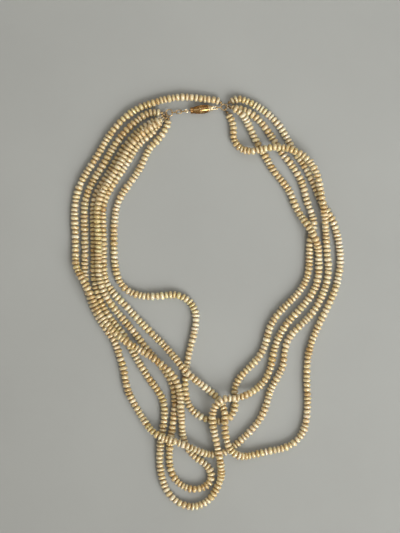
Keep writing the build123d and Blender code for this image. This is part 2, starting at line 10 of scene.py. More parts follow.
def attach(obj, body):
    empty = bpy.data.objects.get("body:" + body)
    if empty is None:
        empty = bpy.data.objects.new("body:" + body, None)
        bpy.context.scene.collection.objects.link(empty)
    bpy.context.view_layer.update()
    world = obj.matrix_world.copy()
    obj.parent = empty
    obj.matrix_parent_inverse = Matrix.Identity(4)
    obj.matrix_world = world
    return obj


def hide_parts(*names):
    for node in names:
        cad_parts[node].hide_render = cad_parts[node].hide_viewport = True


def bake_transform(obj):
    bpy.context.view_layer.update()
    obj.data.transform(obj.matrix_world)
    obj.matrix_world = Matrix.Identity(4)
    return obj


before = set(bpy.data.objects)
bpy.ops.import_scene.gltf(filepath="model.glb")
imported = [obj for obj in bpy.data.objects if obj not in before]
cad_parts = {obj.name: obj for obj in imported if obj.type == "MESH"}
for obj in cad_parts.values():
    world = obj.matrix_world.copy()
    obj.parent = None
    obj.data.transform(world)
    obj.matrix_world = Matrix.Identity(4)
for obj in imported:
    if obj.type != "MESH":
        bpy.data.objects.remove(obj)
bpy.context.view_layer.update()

# ------------------------------------------------------------------ the strands' routes
# The points of part.py, in metres.
ROUTES = {
    # from the left ring down the outside of the left arm, along the bottom and up the right arm
    "outer": [
        (-0.0191, 0.0792, 0.0018), (-0.0218, 0.0796, 0.0018), (-0.0254, 0.0789, 0.0018),
        (-0.0298, 0.0757, 0.0018), (-0.0338, 0.072, 0.0018), (-0.0374, 0.0676, 0.0018),
        (-0.0405, 0.0627, 0.0018), (-0.0434, 0.0573, 0.0018), (-0.047, 0.052, 0.0018),
        (-0.05, 0.0463, 0.0018), (-0.0514, 0.0402, 0.0018), (-0.0513, 0.0337, 0.0018),
        (-0.0511, 0.027, 0.0018), (-0.051, 0.02, 0.0018), (-0.0513, 0.0135, 0.0018),
        (-0.0509, 0.0073, 0.0018), (-0.049, 0.0015, 0.0018), (-0.0468, -0.004, 0.0018),
        (-0.0439, -0.0092, 0.0018), (-0.0405, -0.0134, 0.0018), (-0.0379, -0.0178, 0.0018),
        (-0.0366, -0.0226, 0.0018), (-0.0349, -0.0274, 0.0018), (-0.0342, -0.0326, 0.0018),
        (-0.0329, -0.038, 0.0018), (-0.0302, -0.043, 0.0018), (-0.0273, -0.048, 0.0018),
        (-0.024, -0.0529, 0.0042), (-0.0196, -0.0562, 0.0058), (-0.014, -0.0577, 0.00565),
        (-0.0088, -0.0596, 0.00565), (-0.0038, -0.062, 0.0048), (0.001, -0.064, 0.0021),
        (0.0062, -0.0636, 0.0018), (0.0108, -0.0609, 0.0018), (0.0152, -0.057, 0.0018),
        (0.0195, -0.0528, 0.0018), (0.023, -0.048, 0.0018), (0.0251, -0.0426, 0.0018),
        (0.0264, -0.037, 0.0018), (0.0293, -0.032, 0.0018), (0.032, -0.0271, 0.0018),
        (0.0325, -0.0214, 0.0018), (0.0336, -0.0158, 0.0018), (0.0372, -0.0116, 0.0018),
        (0.0416, -0.0076, 0.0018), (0.0455, -0.0029, 0.0018), (0.0483, 0.0027, 0.0018),
        (0.0504, 0.0085, 0.0018), (0.0511, 0.0145, 0.0018), (0.0504, 0.0205, 0.0018),
        (0.0499, 0.0265, 0.0018), (0.0496, 0.032, 0.0035), (0.0489, 0.0376, 0.0055),
        (0.0479, 0.0435, 0.00565), (0.0469, 0.0495, 0.00565), (0.0452, 0.0553, 0.0055),
        (0.0417, 0.0602, 0.00565), (0.0365, 0.0633, 0.00565), (0.0305, 0.0648, 0.00565),
        (0.0244, 0.0642, 0.00565), (0.0188, 0.0626, 0.0051), (0.0139, 0.064, 0.0023),
        (0.0109, 0.0682, 0.0018), (0.0112, 0.073, 0.0018), (0.0104, 0.0766, 0.0018),
        (0.0086, 0.0792, 0.0018),
    ],
    # second lane on the left, round the long hanging loop, and second lane on the right
    "big_loop": [
        (-0.0188, 0.078, 0.0018), (-0.0207, 0.0769, 0.0018), (-0.023, 0.0752, 0.0018),
        (-0.0268, 0.0731, 0.0018), (-0.0309, 0.0694, 0.0018), (-0.0345, 0.0649, 0.0018),
        (-0.0374, 0.0601, 0.0018), (-0.0402, 0.055, 0.0018), (-0.0438, 0.0498, 0.0018),
        (-0.0466, 0.0449, 0.0018), (-0.0476, 0.0396, 0.0018), (-0.0475, 0.0334, 0.0018),
        (-0.0472, 0.027, 0.0018), (-0.0471, 0.02, 0.0018), (-0.0473, 0.0133, 0.0018),
        (-0.0468, 0.007, 0.0018), (-0.045, 0.0012, 0.0018), (-0.0424, -0.0042, 0.0018),
        (-0.039, -0.0088, 0.0018), (-0.0356, -0.0128, 0.0018), (-0.0329, -0.017, 0.0018),
        (-0.0304, -0.0218, 0.0018), (-0.0276, -0.0268, 0.0018), (-0.0244, -0.0318, 0.0018),
        (-0.0208, -0.0366, 0.0018), (-0.0179, -0.0416, 0.0018), (-0.0176, -0.0476, 0.0018),
        (-0.0186, -0.054, 0.0018), (-0.0197, -0.0606, 0.0018), (-0.0198, -0.0676, 0.0018),
        (-0.0188, -0.0744, 0.0018), (-0.0162, -0.0804, 0.0018), (-0.0113, -0.0847, 0.0018),
        (-0.0052, -0.0861, 0.0018), (0.0006, -0.0835, 0.0018), (0.0042, -0.0784, 0.0018),
        (0.0062, -0.0727, 0.0025), (0.0057, -0.0673, 0.0053), (0.0047, -0.0618, 0.0058),
        (0.0035, -0.0563, 0.0052), (0.0024, -0.0512, 0.00565), (0.0021, -0.0466, 0.0058),
        (0.0034, -0.0426, 0.0058), (0.007, -0.0399, 0.0058), (0.0112, -0.04, 0.0058),
        (0.0152, -0.0392, 0.0051), (0.0196, -0.0373, 0.0022), (0.0242, -0.0333, 0.0018),
        (0.0268, -0.0277, 0.0018), (0.0277, -0.0218, 0.0018), (0.0294, -0.0157, 0.0018),
        (0.0328, -0.0097, 0.0018), (0.0371, -0.0049, 0.0018), (0.0417, 0.0, 0.0018),
        (0.0453, 0.0054, 0.0018), (0.0469, 0.0114, 0.0018), (0.0468, 0.0174, 0.0018),
        (0.0466, 0.0226, 0.0033), (0.045, 0.0273, 0.0056), (0.0422, 0.0318, 0.00565),
        (0.0392, 0.036, 0.0029), (0.0368, 0.0407, 0.0018), (0.035, 0.0461, 0.0018),
        (0.0315, 0.0506, 0.0018), (0.0276, 0.0552, 0.0018), (0.0248, 0.0606, 0.0018),
        (0.0212, 0.0663, 0.0018), (0.0186, 0.0718, 0.0018), (0.0164, 0.0762, 0.0037),
        (0.014, 0.079, 0.0056), (0.0113, 0.0809, 0.0054), (0.0096, 0.0819, 0.0036),
    ],
    # third lane on the left, over the middle, then outermost on the right
    "far_right": [
        (-0.0173, 0.0767, 0.0018), (-0.0189, 0.0751, 0.0018), (-0.0213, 0.0725, 0.0018),
        (-0.0242, 0.0696, 0.0018), (-0.0282, 0.0665, 0.0018), (-0.0313, 0.0624, 0.0018),
        (-0.0338, 0.0576, 0.0018), (-0.0369, 0.0529, 0.0018), (-0.0403, 0.0479, 0.0018),
        (-0.0429, 0.043, 0.0018), (-0.0438, 0.0378, 0.0018), (-0.0435, 0.032, 0.0018),
        (-0.0433, 0.026, 0.0018), (-0.0432, 0.0196, 0.0018), (-0.0433, 0.013, 0.0018),
        (-0.042, 0.0076, 0.0018), (-0.0386, 0.003, 0.0018), (-0.0346, -0.0008, 0.0018),
        (-0.0308, -0.0051, 0.0018), (-0.0267, -0.0096, 0.0018), (-0.0224, -0.0138, 0.0018),
        (-0.0182, -0.0178, 0.0018), (-0.0143, -0.022, 0.0033), (-0.0108, -0.0265, 0.0056),
        (-0.0068, -0.0307, 0.00565), (-0.0024, -0.0344, 0.0035), (0.002, -0.0377, 0.0018),
        (0.0059, -0.0416, 0.0018), (0.0076, -0.0462, 0.0051), (0.0074, -0.0519, 0.0058),
        (0.008, -0.0573, 0.0055), (0.0097, -0.0617, 0.0057), (0.0134, -0.0645, 0.0041),
        (0.0186, -0.0643, 0.0018), (0.0244, -0.0626, 0.0018), (0.0306, -0.0617, 0.0018),
        (0.0364, -0.0594, 0.0018), (0.0404, -0.0548, 0.0018), (0.0419, -0.0487, 0.0018),
        (0.0422, -0.0422, 0.0018), (0.0419, -0.0356, 0.0018), (0.0418, -0.029, 0.0018),
        (0.0423, -0.0224, 0.0018), (0.044, -0.016, 0.0018), (0.0467, -0.0098, 0.0018),
        (0.0498, -0.0036, 0.0018), (0.0529, 0.0028, 0.0018), (0.055, 0.0094, 0.0018),
        (0.056, 0.016, 0.0018), (0.0557, 0.0226, 0.0018), (0.0545, 0.029, 0.0018), (0.0525, 0.035, 0.0018),
        (0.0487, 0.0404, 0.0018), (0.046, 0.0462, 0.0018), (0.0436, 0.0523, 0.0018),
        (0.0404, 0.058, 0.0018), (0.0367, 0.063, 0.0018), (0.0338, 0.0678, 0.0018),
        (0.0314, 0.0726, 0.0018), (0.0278, 0.0768, 0.0018), (0.0238, 0.0803, 0.0018),
        (0.0192, 0.083, 0.0018), (0.0146, 0.0851, 0.0018), (0.012, 0.085, 0.0018),
        (0.0095, 0.0838, 0.0018),
    ],
    # innermost on the left, across the open middle, round the junction, innermost on the right
    "inner": [
        (-0.0161, 0.0765, 0.0018), (-0.0164, 0.0743, 0.0018), (-0.0178, 0.0714, 0.0018),
        (-0.0203, 0.0679, 0.0018), (-0.0242, 0.0645, 0.0018), (-0.0262, 0.0599, 0.0018),
        (-0.0284, 0.0552, 0.0018), (-0.0319, 0.0502, 0.0018), (-0.0356, 0.0454, 0.0018),
        (-0.038, 0.0398, 0.0018), (-0.0388, 0.0332, 0.0018), (-0.0389, 0.0263, 0.0018),
        (-0.0388, 0.0192, 0.0018), (-0.0382, 0.0124, 0.0018), (-0.0358, 0.0068, 0.0018),
        (-0.0312, 0.0034, 0.0018), (-0.0254, 0.0022, 0.0018), (-0.0194, 0.0025, 0.0018),
        (-0.0136, 0.0034, 0.0018), (-0.0084, 0.0015, 0.0018), (-0.0049, -0.0027, 0.0018),
        (-0.0044, -0.0081, 0.0018), (-0.0056, -0.0144, 0.0018), (-0.0074, -0.0208, 0.0018),
        (-0.0086, -0.0276, 0.0018), (-0.0092, -0.0344, 0.0018), (-0.0088, -0.0408, 0.0018),
        (-0.006, -0.046, 0.0018), (-0.0008, -0.0491, 0.0018), (0.005, -0.0505, 0.0018),
        (0.0107, -0.0482, 0.0018), (0.0122, -0.042, 0.0018), (0.0112, -0.0368, 0.0018),
        (0.0133, -0.0318, 0.0018), (0.0179, -0.0272, 0.0018), (0.0224, -0.0226, 0.0018),
        (0.0248, -0.017, 0.0018), (0.026, -0.011, 0.0018), (0.029, -0.0056, 0.0018),
        (0.0335, -0.001, 0.0018), (0.038, 0.0034, 0.0018), (0.0416, 0.0086, 0.0018),
        (0.0429, 0.0148, 0.0018), (0.0429, 0.021, 0.0018), (0.0432, 0.0266, 0.0018),
        (0.0451, 0.0316, 0.0018), (0.0442, 0.0366, 0.0018), (0.042, 0.0416, 0.0018),
        (0.041, 0.0468, 0.0018), (0.039, 0.0522, 0.0018), (0.0355, 0.0574, 0.0018),
        (0.0312, 0.0626, 0.0018), (0.0278, 0.0682, 0.0018), (0.0242, 0.0736, 0.0018),
        (0.02, 0.078, 0.0018), (0.0158, 0.0803, 0.0018), (0.0129, 0.0813, 0.0018),
        (0.0102, 0.0813, 0.0018),
    ],
    # from the right ring over the top, down the left arm, back through a small loop to the left ring
    "folded": [
        (0.0057, 0.0838, 0.0018), (0.0033, 0.0847, 0.0018), (-0.0008, 0.085, 0.0018),
        (-0.0052, 0.0856, 0.0018), (-0.011, 0.086, 0.0018), (-0.017, 0.085, 0.0018),
        (-0.023, 0.0834, 0.0018), (-0.0291, 0.0812, 0.0018), (-0.0344, 0.0775, 0.0018),
        (-0.0391, 0.0724, 0.0018), (-0.043, 0.0666, 0.0018), (-0.0461, 0.0609, 0.0018),
        (-0.0499, 0.0552, 0.0018), (-0.0534, 0.049, 0.0018), (-0.0552, 0.042, 0.0018),
        (-0.0555, 0.035, 0.0018), (-0.0551, 0.028, 0.0018), (-0.055, 0.021, 0.0018),
        (-0.055, 0.0156, 0.0035), (-0.0526, 0.0106, 0.0055), (-0.0494, 0.0054, 0.00565),
        (-0.0471, 0.0002, 0.0053), (-0.0446, -0.0052, 0.0052), (-0.0409, -0.01, 0.0052),
        (-0.037, -0.014, 0.0055), (-0.0324, -0.0173, 0.00565), (-0.0274, -0.0202, 0.0055),
        (-0.0222, -0.0234, 0.00565), (-0.017, -0.0272, 0.00565), (-0.0128, -0.032, 0.0054),
        (-0.011, -0.038, 0.0052), (-0.0109, -0.0444, 0.0051), (-0.0105, -0.0502, 0.0031),
        (-0.0103, -0.0556, 0.0018), (-0.0085, -0.0608, 0.0018), (-0.0054, -0.0646, 0.0018),
        (-0.0019, -0.0669, 0.0018), (0.0009, -0.0693, 0.0018), (0.0021, -0.0725, 0.0018),
        (0.0011, -0.0757, 0.0018), (-0.0015, -0.0778, 0.0018), (-0.0051, -0.0785, 0.0018),
        (-0.0092, -0.0777, 0.0018), (-0.0127, -0.0751, 0.0018), (-0.0149, -0.0714, 0.0018),
        (-0.0158, -0.0664, 0.0018), (-0.0156, -0.06, 0.0018), (-0.0146, -0.0538, 0.0018),
        (-0.0138, -0.0474, 0.0018), (-0.0131, -0.041, 0.0018), (-0.014, -0.035, 0.0018),
        (-0.0167, -0.0298, 0.0018), (-0.0203, -0.0252, 0.0018), (-0.0243, -0.0208, 0.0018),
        (-0.0279, -0.0161, 0.0018), (-0.0315, -0.0113, 0.0018), (-0.0354, -0.0068, 0.0018),
        (-0.0392, -0.0022, 0.0021), (-0.0424, 0.0029, 0.0047), (-0.0447, 0.0086, 0.0051),
        (-0.0453, 0.0146, 0.0051), (-0.0452, 0.021, 0.0051), (-0.0453, 0.0274, 0.0051),
        (-0.0458, 0.0334, 0.0051), (-0.0457, 0.0392, 0.0051), (-0.0445, 0.0444, 0.0052),
        (-0.0419, 0.0492, 0.0052), (-0.0385, 0.0541, 0.0052), (-0.0355, 0.0592, 0.0052),
        (-0.033, 0.064, 0.0051), (-0.0296, 0.068, 0.0051), (-0.0262, 0.071, 0.0054),
        (-0.0229, 0.0733, 0.00565), (-0.0204, 0.075, 0.0053), (-0.018, 0.0771, 0.0036),
    ],
}

# Where a strand is divided into two pieces: after this point of its list.
CUT_AFTER = {"outer": 31, "big_loop": 34, "far_right": 25, "inner": 27, "folded": 11}

# Pieces on the swinging side of a cut, with two points each where they would bend from the root into the left
# arm; the points are not read here, and such a piece is only baked in place, on no body.
BENDS = {
    "outer_left": ((0.001, -0.064, 0.0), (-0.020, -0.050, 0.0)),
    "big_loop_left": ((0.002, -0.082, 0.0), (-0.012, -0.082, 0.0)),
    "far_right_left": ((0.0, -0.036, 0.0), (-0.016, -0.020, 0.0)),
    "inner_left": ((-0.002, -0.0485, 0.0), (-0.009, -0.035, 0.0)),
    "folded_right": ((0.005, 0.0846, 0.0), (-0.045, 0.060, 0.0)),
}

# The bare thread at each piece's ring, then a stretch of small end pearls: (bare, small).
RING_ENDS = {
    "outer_left": (0.0004, 0.0), "outer_right": (0.0007, 0.0),
    "big_loop_left": (0.0022, 0.0013), "big_loop_right": (0.0012, 0.0013),
    "far_right_left": (0.0026, 0.0039), "far_right_right": (0.0004, 0.0),
    "inner_left": (0.0004, 0.0), "inner_right": (0.0013, 0.0),
    "folded_left": (0.0014, 0.0013), "folded_right": (0.0004, 0.0),
}


THREAD_RADIUS = 0.0002
SEED = 11

# Pearls: the mean size of a bead, and how far the sizes go from it.
PEARL_RADIUS = 0.00172
PEARL_LENGTH = 0.00178
END_PEARL_RADIUS = 0.00105
END_PEARL_LENGTH = 0.0013
RADIUS_RANGE = (0.90, 1.04)
LENGTH_RANGE = (0.80, 1.20)
HALF_LENGTH = 0.485  # of the bead's share of the thread: a little less than half leaves a gap

# Pearls: the form. A power below 1 makes the side fuller than a circle's.
BORE_RADIUS = 0.00028
SIDE_POWER = 0.72
END_POWER = 0.9
PEARL_SHAPES = 14
PEARL_TURNS = 24
PEARL_ROWS = 14

# Pearls: how lean (radians) and colour run along a strand. Memory is a pearl's likeness to the one before.
LEAN_SPREAD, LEAN_MEMORY = 0.075, 0.6
TONE_MEAN, TONE_SPREAD, TONE_MEMORY, TONE_NOISE = 0.55, 0.15, 0.85, 0.13
TINT_MEAN, TINT_SPREAD, TINT_MEMORY, TINT_NOISE = 0.5, 0.16, 0.8, 0.08

# The clasp's axis, which lies 6 degrees off +X.
CLASP_MIDDLE = Vector((-0.00163, 0.08075, 0.00185))
CLASP_TURN = math.radians(6)
CLASP_ALONG = Vector((math.cos(CLASP_TURN), math.sin(CLASP_TURN), 0))
CLASP_ACROSS = Vector((math.sin(CLASP_TURN), -math.cos(CLASP_TURN), 0))

# ------------------------------------------------------------------ camera, light and floor
VIEW_MIDDLE = Vector((-0.0029, 0.0149, 0.0))
VIEW_WIDTH = 0.168
CAMERA_HEIGHT = 0.62
SENSOR = 36.0
FLOOR_SIZE = 6.0

# Each light: name, kind, settings, place, the point it is aimed at.
LIGHTS = (
    # a wide window on the right, whose light fades towards the left
    ("window", "AREA", {
        "shape": "DISK", "size": 0.8, "spread": math.radians(60), "energy": 1.78, "color": (1.0, 0.99, 0.96),
    }, (0.46, -0.50, 0.66), (0.10, 0.10, 0.0)),
    # a small low lamp, for the glint on each pearl's side
    ("glint", "SPOT", {
        "shadow_soft_size": 0.06, "spot_size": math.radians(50), "spot_blend": 1.0, "energy": 5.0,
        "color": (1.0, 0.98, 0.93),
    }, (0.58, -0.64, 0.34), (0.05, 0.05, 0.0)),
    # a weak sky
    ("sky", "AREA", {
        "shape": "DISK", "size": 0.9, "energy": 2.9, "color": (0.97, 0.99, 1.0),
    }, (0.25, 0.35, 0.95), (0.02, 0.03, 0.0)),
)
ROOM_COLOUR = (1.0, 0.88, 0.70, 1.0)
ROOM_STRENGTH = 0.33


def make_camera():
    data = bpy.data.cameras.new("camera")
    data.sensor_fit = "HORIZONTAL"
    data.sensor_width = SENSOR
    data.lens = SENSOR * CAMERA_HEIGHT / VIEW_WIDTH
    data.clip_start = 0.01
    data.clip_end = 20.0
    camera = bpy.data.objects.new("camera", data)
    camera.location = VIEW_MIDDLE + Vector((0, 0, CAMERA_HEIGHT))
    bpy.context.scene.collection.objects.link(camera)
    bpy.context.scene.camera = camera


def make_lights():
    for name, kind, settings, place, aim in LIGHTS:
        data = bpy.data.lights.new(name, kind)
        for setting, value in settings.items():
            setattr(data, setting, value)
        light = bpy.data.objects.new(name, data)
        light.location = place
        light.rotation_euler = (Vector(aim) - Vector(place)).to_track_quat("-Z", "Y").to_euler()
        bpy.context.scene.collection.objects.link(light)
    world = bpy.data.worlds.new("room")
    world.use_nodes = True
    background = world.node_tree.nodes["Background"]
    background.inputs["Color"].default_value = ROOM_COLOUR
    background.inputs["Strength"].default_value = ROOM_STRENGTH
    bpy.context.scene.world = world
    bpy.context.scene.view_settings.view_transform = "Standard"


# ------------------------------------------------------------------ material helpers
def new_material(name):
    """A material with a Principled shader: (material, node tree, shader)."""
    material = bpy.data.materials.new(name)
    material.use_nodes = True
    tree = material.node_tree
    return material, tree, tree.nodes["Principled BSDF"]


def set_inputs(shader, values):
    """Constants straight on the shader's own inputs."""
    for name, value in values.items():
        shader.inputs[name].default_value = value


def add_node(tree, kind, **settings):
    """A node with its properties set; a setting whose name is an input's sets that input."""
    node = tree.nodes.new(kind)
    for key, value in settings.items():
        if hasattr(node, key):
            setattr(node, key, value)
        else:
            node.inputs[key.replace("_", " ").title()].default_value = value
    return node


def add_ramp(tree, factor, stops):
    """A colour ramp over a value: stops are (position, colour)."""
    ramp = tree.nodes.new("ShaderNodeValToRGB")
    elements = ramp.color_ramp.elements
    while len(elements) < len(stops):
        elements.new(0.5)
    for element, (position, colour) in zip(elements, stops):
        element.position = position
        element.color = (*colour, 1.0)
    tree.links.new(factor, ramp.inputs["Fac"])
    return ramp.outputs["Color"]


def add_mix(tree, factor, first, second, blend="MIX"):
    """A colour mix; any of the three may be an output or a constant."""
    mix = tree.nodes.new("ShaderNodeMix")
    mix.data_type = "RGBA"
    mix.blend_type = blend
    for socket, value in ((mix.inputs[0], factor), (mix.inputs[6], first), (mix.inputs[7], second)):
        if isinstance(value, bpy.types.NodeSocket):
            tree.links.new(value, socket)
        else:
            socket.default_value = value if isinstance(value, float) else (*value, 1.0)
    return mix.outputs[2]


def add_noise(tree, scale, detail=2.0, roughness=0.5):
    """The value of a noise over the place in the object's own frame."""
    place = tree.nodes.new("ShaderNodeTexCoord")
    noise = add_node(tree, "ShaderNodeTexNoise", scale=scale, detail=detail, roughness=roughness)
    tree.links.new(place.outputs["Object"], noise.inputs["Vector"])
    return noise.outputs["Fac"]


def add_bump(tree, shader, height, distance, strength):
    bump = add_node(tree, "ShaderNodeBump", distance=distance, strength=strength)
    tree.links.new(height, bump.inputs["Height"])
    tree.links.new(bump.outputs["Normal"], shader.inputs["Normal"])


def add_roughness(tree, shader, noise, low, high):
    """Roughness that goes from low to high as the noise rises."""
    rough = add_node(tree, "ShaderNodeMapRange", from_min=0.3, from_max=0.7, to_min=low, to_max=high)
    tree.links.new(noise, rough.inputs["Value"])
    tree.links.new(rough.outputs["Result"], shader.inputs["Roughness"])


# ------------------------------------------------------------------ materials
def make_pearl_material():
    """Nacre: gold to ivory from pearl to pearl, a faint rose or green overtone, and painted shade in brown
    towards each bead's ends, in the gaps where beads meet.
    """
    material, tree, shader = new_material("nacre")
    tone = add_node(tree, "ShaderNodeAttribute", attribute_name="tone")
    tint = add_node(tree, "ShaderNodeAttribute", attribute_name="tint")
    gap_shade_mask = add_node(tree, "ShaderNodeAttribute", attribute_name="gap_shade_mask")
    body = add_ramp(tree, tone.outputs["Fac"], [
        (0.0, (0.47, 0.32, 0.12)), (0.25, (0.60, 0.47, 0.24)), (0.55, (0.68, 0.59, 0.37)),
        (0.8, (0.74, 0.68, 0.49)), (1.0, (0.80, 0.77, 0.64)),
    ])
    overtone = add_ramp(tree, tint.outputs["Fac"], [
        (0.0, (1.0, 0.93, 0.86)), (0.35, (1.0, 1.0, 1.0)), (0.65, (1.0, 1.0, 0.96)), (1.0, (0.96, 1.0, 0.82)),
    ])
    body = add_mix(tree, 1.0, body, overtone, "MULTIPLY")
    clouds = add_ramp(tree, add_noise(tree, scale=900.0, detail=3.0), [
        (0.35, (0.82, 0.74, 0.60)), (0.65, (1.0, 1.0, 1.0)),
    ])
    body = add_mix(tree, 0.8, body, clouds, "MULTIPLY")
    # Painted shade: brown towards each bead's ends, in the gaps where it meets the next bead.
    painted_gap_shade = add_ramp(tree, gap_shade_mask.outputs["Fac"], [(0.42, (0.0, 0.0, 0.0)), (0.95, (0.9, 0.9, 0.9))])
    body = add_mix(tree, painted_gap_shade, body, (0.45, 0.27, 0.09))
    tree.links.new(body, shader.inputs["Base Color"])
    add_roughness(tree, shader, add_noise(tree, scale=1600.0, detail=2.0), low=0.22, high=0.42)
    set_inputs(shader, {
        "IOR": 1.58,
        "Subsurface Weight": 0.30, "Subsurface Radius": (1.0, 0.65, 0.35), "Subsurface Scale": 0.0010,
        "Coat Weight": 1.0, "Coat Roughness": 0.12, "Coat IOR": 1.6,
        "Sheen Weight": 0.08, "Sheen Roughness": 0.4,
    })
    skin = add_noise(tree, scale=2600.0, detail=4.0, roughness=0.6)
    add_bump(tree, shader, skin, distance=0.00006, strength=0.35)
    return material


def make_silk_material():
    """Cream silk thread, mottled and slightly rough."""
    material, tree, shader = new_material("silk")
    shade = add_ramp(tree, add_noise(tree, scale=5000.0, detail=2.0), [
        (0.3, (0.45, 0.34, 0.18)), (0.7, (0.74, 0.66, 0.48)),
    ])
    tree.links.new(shade, shader.inputs["Base Color"])
    set_inputs(shader, {"Roughness": 0.7, "Sheen Weight": 0.3})
    add_bump(tree, shader, add_noise(tree, scale=9000.0, detail=3.0), distance=0.00004, strength=0.6)
    return material


def make_gold_material(name, colour, wear_and_dark_reflection, roughness):
    """Rolled gold: warm and polished, with darker patches that are partly wear and partly painted dark
    reflection, and fine scratches.
    """
    material, tree, shader = new_material(name)
    # Darker patches: partly wear, partly painted dark reflection.
    patches = add_ramp(tree, add_noise(tree, scale=700.0, detail=4.0, roughness=0.6), [
        (0.35, wear_and_dark_reflection), (0.62, colour),
    ])
    tree.links.new(patches, shader.inputs["Base Color"])
    wear = add_noise(tree, scale=1100.0, detail=3.0)
    add_roughness(tree, shader, wear, low=roughness + 0.14, high=roughness)
    set_inputs(shader, {"Metallic": 1.0})
    scratches = add_noise(tree, scale=6000.0, detail=3.0, roughness=0.7)
    add_bump(tree, shader, scratches, distance=0.00002, strength=0.25)
    return material


def make_floor_material():
    """A pale painted board with a faint mottle."""
    material, tree, shader = new_material("floor")
    mottle = add_ramp(tree, add_noise(tree, scale=14.0, detail=4.0), [
        (0.3, (0.306, 0.319, 0.317)), (0.7, (0.328, 0.342, 0.340)),
    ])
    tree.links.new(mottle, shader.inputs["Base Color"])
    set_inputs(shader, {"Roughness": 0.75})
    add_bump(tree, shader, add_noise(tree, scale=900.0, detail=3.0), distance=0.00005, strength=0.15)
    return material


def make_floor(material):
    bpy.ops.mesh.primitive_plane_add(size=FLOOR_SIZE, location=(0, 0, 0))
    floor = bpy.context.object
    floor.name = "floor"
    floor.data.materials.append(material)


# ------------------------------------------------------------------ strands
def link_mesh(name, verts, faces, material):
    """A smooth-shaded piece from vertices and faces."""
    mesh = bpy.data.meshes.new(name)
    mesh.from_pydata(verts, [], faces)
    mesh.materials.append(material)
    mesh.polygons.foreach_set("use_smooth", [True] * len(mesh.polygons))
    mesh.update()
    piece = bpy.data.objects.new(name, mesh)
    bpy.context.scene.collection.objects.link(piece)
    return piece


def strand_points(strand, side):
    """The points of one piece of a strand, from its ring to the cut, and the middle of the cut run."""
    points = [Vector(point) for point in ROUTES[strand]]
    cut = CUT_AFTER[strand]
    middle = (points[cut] + points[cut + 1]) / 2
    first = points[:cut + 1] + [middle]
    last = [middle] + points[cut + 1:]
    starts_right = strand == "folded"  # the others' lists start at the left ring
    return first if (side == "left") != starts_right else last[::-1]


def smooth_curve(name, points, bevel):
    """A NURBS curve with the route's points as its control points."""
    data = bpy.data.curves.new(name, "CURVE")
    data.dimensions = "3D"
    data.resolution_u = 10
    data.bevel_depth = bevel
    data.bevel_resolution = 3
    spline = data.splines.new("NURBS")
    spline.points.add(len(points) - 1)
    for target, point in zip(spline.points, points):
        target.co = (*point, 1.0)
    spline.order_u = 3
    spline.use_endpoint_u = True
    curve = bpy.data.objects.new(name, data)
    bpy.context.scene.collection.objects.link(curve)
    return curve


def as_mesh(curve):
    bpy.context.view_layer.update()
    mesh = bpy.data.meshes.new_from_object(curve)
    bpy.data.objects.remove(curve)
    return mesh


class Path:
    """A strand's centre line, sampled by distance."""

    def __init__(self, points):
        mesh = as_mesh(smooth_curve("path", points, 0.0))
        self.points = np.array([vertex.co for vertex in mesh.vertices], float)
        bpy.data.meshes.remove(mesh)
        steps = np.linalg.norm(np.diff(self.points, axis=0), axis=1)
        self.along = np.concatenate([[0.0], np.cumsum(steps)])
        self.length = float(self.along[-1])

    def at(self, distance):
        return np.array([np.interp(distance, self.along, self.points[:, axis]) for axis in range(3)])

    def frame_at(self, distance, reach=0.0004):
        """A rotation whose Z runs along the path."""
        tangent = self.at(min(distance + reach, self.length)) - self.at(max(distance - reach, 0.0))
        return Vector(tangent).to_track_quat("Z", "Y").to_matrix()


def pearl_profile():
    """(radius, height) rows of a bead of radius 1 and half length 1: hole, rim, body, rim, hole."""
    bore = BORE_RADIUS / PEARL_RADIUS
    rim = bore * 1.25
    start = math.asin(min(1.0, rim ** (1 / SIDE_POWER)))
    rows = [(bore * 0.9, 0.55), (bore, 0.90)]
    for row in range(PEARL_ROWS):
        turn = start + (math.pi - 2 * start) * row / (PEARL_ROWS - 1)
        height = math.cos(turn)
        rows.append((math.sin(turn) ** SIDE_POWER, math.copysign(abs(height) ** END_POWER, height)))
    rows += [(bore, -0.90), (bore * 0.9, -0.55)]
    return rows


def make_pearl_shapes(rng):
    """Baroque variants of the bead: each an array of vertices in units of radius and half length."""
    turns = np.linspace(0, 2 * math.pi, PEARL_TURNS, endpoint=False)
    rows = pearl_profile()
    shapes = []
    for _ in range(PEARL_SHAPES):
        oval, lobe = rng.uniform(0.02, 0.07), rng.uniform(0, 0.03)
        lean, waist = rng.uniform(0, 0.22), rng.uniform(0, 0.05)
        phase = rng.uniform(0, 2 * math.pi, 4)
        flat = rng.uniform(0.0, 0.10)
        verts = []
        for radius, height in rows:
            bulge = 1 - oval * np.cos(2 * turns + phase[0]) ** 2 - lobe * (1 + np.cos(3 * turns + phase[1])) / 2
            bulge = bulge - waist * np.cos(4 * height + phase[2]) ** 2
            bulge = bulge - flat * np.maximum(0, np.cos(turns + phase[3])) ** 6
            reach = radius * (bulge if radius > 0.3 else np.ones_like(turns))
            rise = height + lean * radius * np.cos(turns + phase[2]) * (1 - abs(height)) * 0.5
            verts.append(np.stack([reach * np.cos(turns), reach * np.sin(turns), rise], axis=1))
        shapes.append(np.concatenate(verts))
    # How near each vertex lies to the bead's ends: the mask for the painted shade in the gaps between beads.
    gap_shade_mask = np.repeat([abs(height) if radius > 0.2 else 1.0 for radius, height in rows], PEARL_TURNS)
    return shapes, gap_shade_mask


def pearl_faces():
    """The faces of one bead, as rows of vertex numbers."""
    count = len(pearl_profile())
    faces = []
    for row in range(count - 1):
        for turn in range(PEARL_TURNS):
            after = (turn + 1) % PEARL_TURNS
            faces.append((
                row * PEARL_TURNS + turn, (row + 1) * PEARL_TURNS + turn,
                (row + 1) * PEARL_TURNS + after, row * PEARL_TURNS + after,
            ))
    return np.array(faces)


